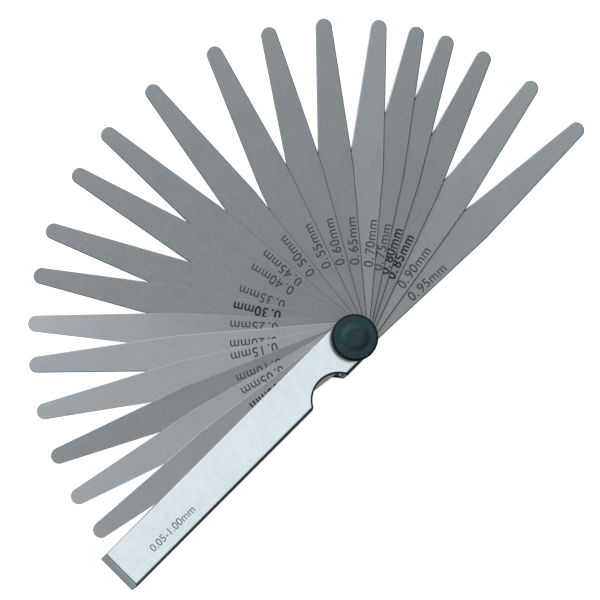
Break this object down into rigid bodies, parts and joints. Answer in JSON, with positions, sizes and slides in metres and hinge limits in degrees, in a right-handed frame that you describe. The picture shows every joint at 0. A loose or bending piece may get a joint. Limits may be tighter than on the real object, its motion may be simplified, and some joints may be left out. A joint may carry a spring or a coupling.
{
  "type": "feeler gauge",
  "caption": "Fan of thin calibrated steel leaves turning on a bush in a folded steel sheath, clamped by a knurled locking screw.",
  "frame": {"origin": "on the pivot axis, at the outer face of the back plate, where the bush lies flush", "axes": "+Z along the pivot axis towards the locking screw's head, -X along the sheath to its closed end, +Y out of the sheath's open side"},
  "size_m": [0.1912, 0.1014, 0.0169],
  "materials": {
    "nickel_steel": "satin nickel plate",
    "spring_steel": "ground, grain along the leaf",
    "bush_steel": "turned",
    "washer_steel": "plain",
    "black_screw": "matt blue-black"
  },
  "bodies": {
    "sheath": {"sheath": "nickel_steel", "pivot_bush": "bush_steel"},
    "leaf_19": {"leaf_19": "spring_steel"},
    "leaf_18": {"leaf_18": "spring_steel"},
    "leaf_17": {"leaf_17": "spring_steel"},
    "leaf_16": {"leaf_16": "spring_steel"},
    "leaf_15": {"leaf_15": "spring_steel"},
    "leaf_14": {"leaf_14": "spring_steel"},
    "leaf_13": {"leaf_13": "spring_steel"},
    "leaf_12": {"leaf_12": "spring_steel"},
    "leaf_11": {"leaf_11": "spring_steel"},
    "leaf_10": {"leaf_10": "spring_steel"},
    "leaf_09": {"leaf_09": "spring_steel"},
    "leaf_08": {"leaf_08": "spring_steel"},
    "leaf_07": {"leaf_07": "spring_steel"},
    "leaf_06": {"leaf_06": "spring_steel"},
    "leaf_05": {"leaf_05": "spring_steel"},
    "leaf_04": {"leaf_04": "spring_steel"},
    "leaf_03": {"leaf_03": "spring_steel"},
    "leaf_02": {"leaf_02": "spring_steel"},
    "leaf_01": {"leaf_01": "spring_steel"},
    "leaf_20": {"leaf_20": "spring_steel"},
    "screw_washer": {"screw_washer": "washer_steel"},
    "lock_screw": {"lock_screw": "black_screw"}
  },
  "joints": [
    {"name": "leaf_19_pivot", "type": "hinge", "parent": "sheath", "child": "leaf_19", "pos_m": [0, 0, 0.00143], "axis": [0, 0, -1], "range_deg": [-182, 18]},
    {"name": "leaf_18_pivot", "type": "hinge", "parent": "sheath", "child": "leaf_18", "pos_m": [0, 0, 0.0024], "axis": [0, 0, -1], "range_deg": [-170.7, 29.3]},
    {"name": "leaf_17_pivot", "type": "hinge", "parent": "sheath", "child": "leaf_17", "pos_m": [0, 0, 0.00332], "axis": [0, 0, -1], "range_deg": [-160.5, 39.5]},
    {"name": "leaf_16_pivot", "type": "hinge", "parent": "sheath", "child": "leaf_16", "pos_m": [0, 0, 0.0042], "axis": [0, 0, -1], "range_deg": [-153.1, 46.9]},
    {"name": "leaf_15_pivot", "type": "hinge", "parent": "sheath", "child": "leaf_15", "pos_m": [0, 0, 0.00502], "axis": [0, 0, -1], "range_deg": [-147.4, 52.6]},
    {"name": "leaf_14_pivot", "type": "hinge", "parent": "sheath", "child": "leaf_14", "pos_m": [0, 0, 0.0058], "axis": [0, 0, -1], "range_deg": [-140.4, 59.6]},
    {"name": "leaf_13_pivot", "type": "hinge", "parent": "sheath", "child": "leaf_13", "pos_m": [0, 0, 0.00653], "axis": [0, 0, -1], "range_deg": [-130.3, 69.7]},
    {"name": "leaf_12_pivot", "type": "hinge", "parent": "sheath", "child": "leaf_12", "pos_m": [0, 0, 0.0072], "axis": [0, 0, -1], "range_deg": [-120.1, 79.9]},
    {"name": "leaf_11_pivot", "type": "hinge", "parent": "sheath", "child": "leaf_11", "pos_m": [0, 0, 0.00783], "axis": [0, 0, -1], "range_deg": [-109.5, 90.5]},
    {"name": "leaf_10_pivot", "type": "hinge", "parent": "sheath", "child": "leaf_10", "pos_m": [0, 0, 0.0084], "axis": [0, 0, -1], "range_deg": [-96.2, 103.8]},
    {"name": "leaf_09_pivot", "type": "hinge", "parent": "sheath", "child": "leaf_09", "pos_m": [0, 0, 0.00893], "axis": [0, 0, -1], "range_deg": [-84.9, 115.1]},
    {"name": "leaf_08_pivot", "type": "hinge", "parent": "sheath", "child": "leaf_08", "pos_m": [0, 0, 0.0094], "axis": [0, 0, -1], "range_deg": [-75.7, 124.3]},
    {"name": "leaf_07_pivot", "type": "hinge", "parent": "sheath", "child": "leaf_07", "pos_m": [0, 0, 0.00983], "axis": [0, 0, -1], "range_deg": [-64.5, 135.5]},
    {"name": "leaf_06_pivot", "type": "hinge", "parent": "sheath", "child": "leaf_06", "pos_m": [0, 0, 0.0102], "axis": [0, 0, -1], "range_deg": [-56.1, 143.9]},
    {"name": "leaf_05_pivot", "type": "hinge", "parent": "sheath", "child": "leaf_05", "pos_m": [0, 0, 0.01052], "axis": [0, 0, -1], "range_deg": [-47.4, 152.6]},
    {"name": "leaf_04_pivot", "type": "hinge", "parent": "sheath", "child": "leaf_04", "pos_m": [0, 0, 0.0108], "axis": [0, 0, -1], "range_deg": [-40, 160]},
    {"name": "leaf_03_pivot", "type": "hinge", "parent": "sheath", "child": "leaf_03", "pos_m": [0, 0, 0.01103], "axis": [0, 0, -1], "range_deg": [-31.5, 168.5]},
    {"name": "leaf_02_pivot", "type": "hinge", "parent": "sheath", "child": "leaf_02", "pos_m": [0, 0, 0.0112], "axis": [0, 0, -1], "range_deg": [-23.1, 176.9]},
    {"name": "leaf_01_pivot", "type": "hinge", "parent": "sheath", "child": "leaf_01", "pos_m": [0, 0, 0.01132], "axis": [0, 0, -1], "range_deg": [-15, 185]},
    {"name": "leaf_20_pivot", "type": "hinge", "parent": "sheath", "child": "leaf_20", "pos_m": [0, 0, 0.0119], "axis": [0, 0, -1], "range_deg": [-7.8, 192.2]},
    {"name": "washer_lift", "type": "slide", "parent": "sheath", "child": "screw_washer", "axis": [0, 0, 1], "range_m": [0, 0.0012]},
    {"name": "lock_screw_turn", "type": "hinge", "parent": "screw_washer", "child": "lock_screw", "pos_m": [0, 0, 0.01385], "axis": [0, 0, 1], "range_deg": [0, 541]}
  ],
  "couplings": [
    {"joint": "lock_screw_turn", "follows": "washer_lift", "rad_per_m": 7854}
  ]
}
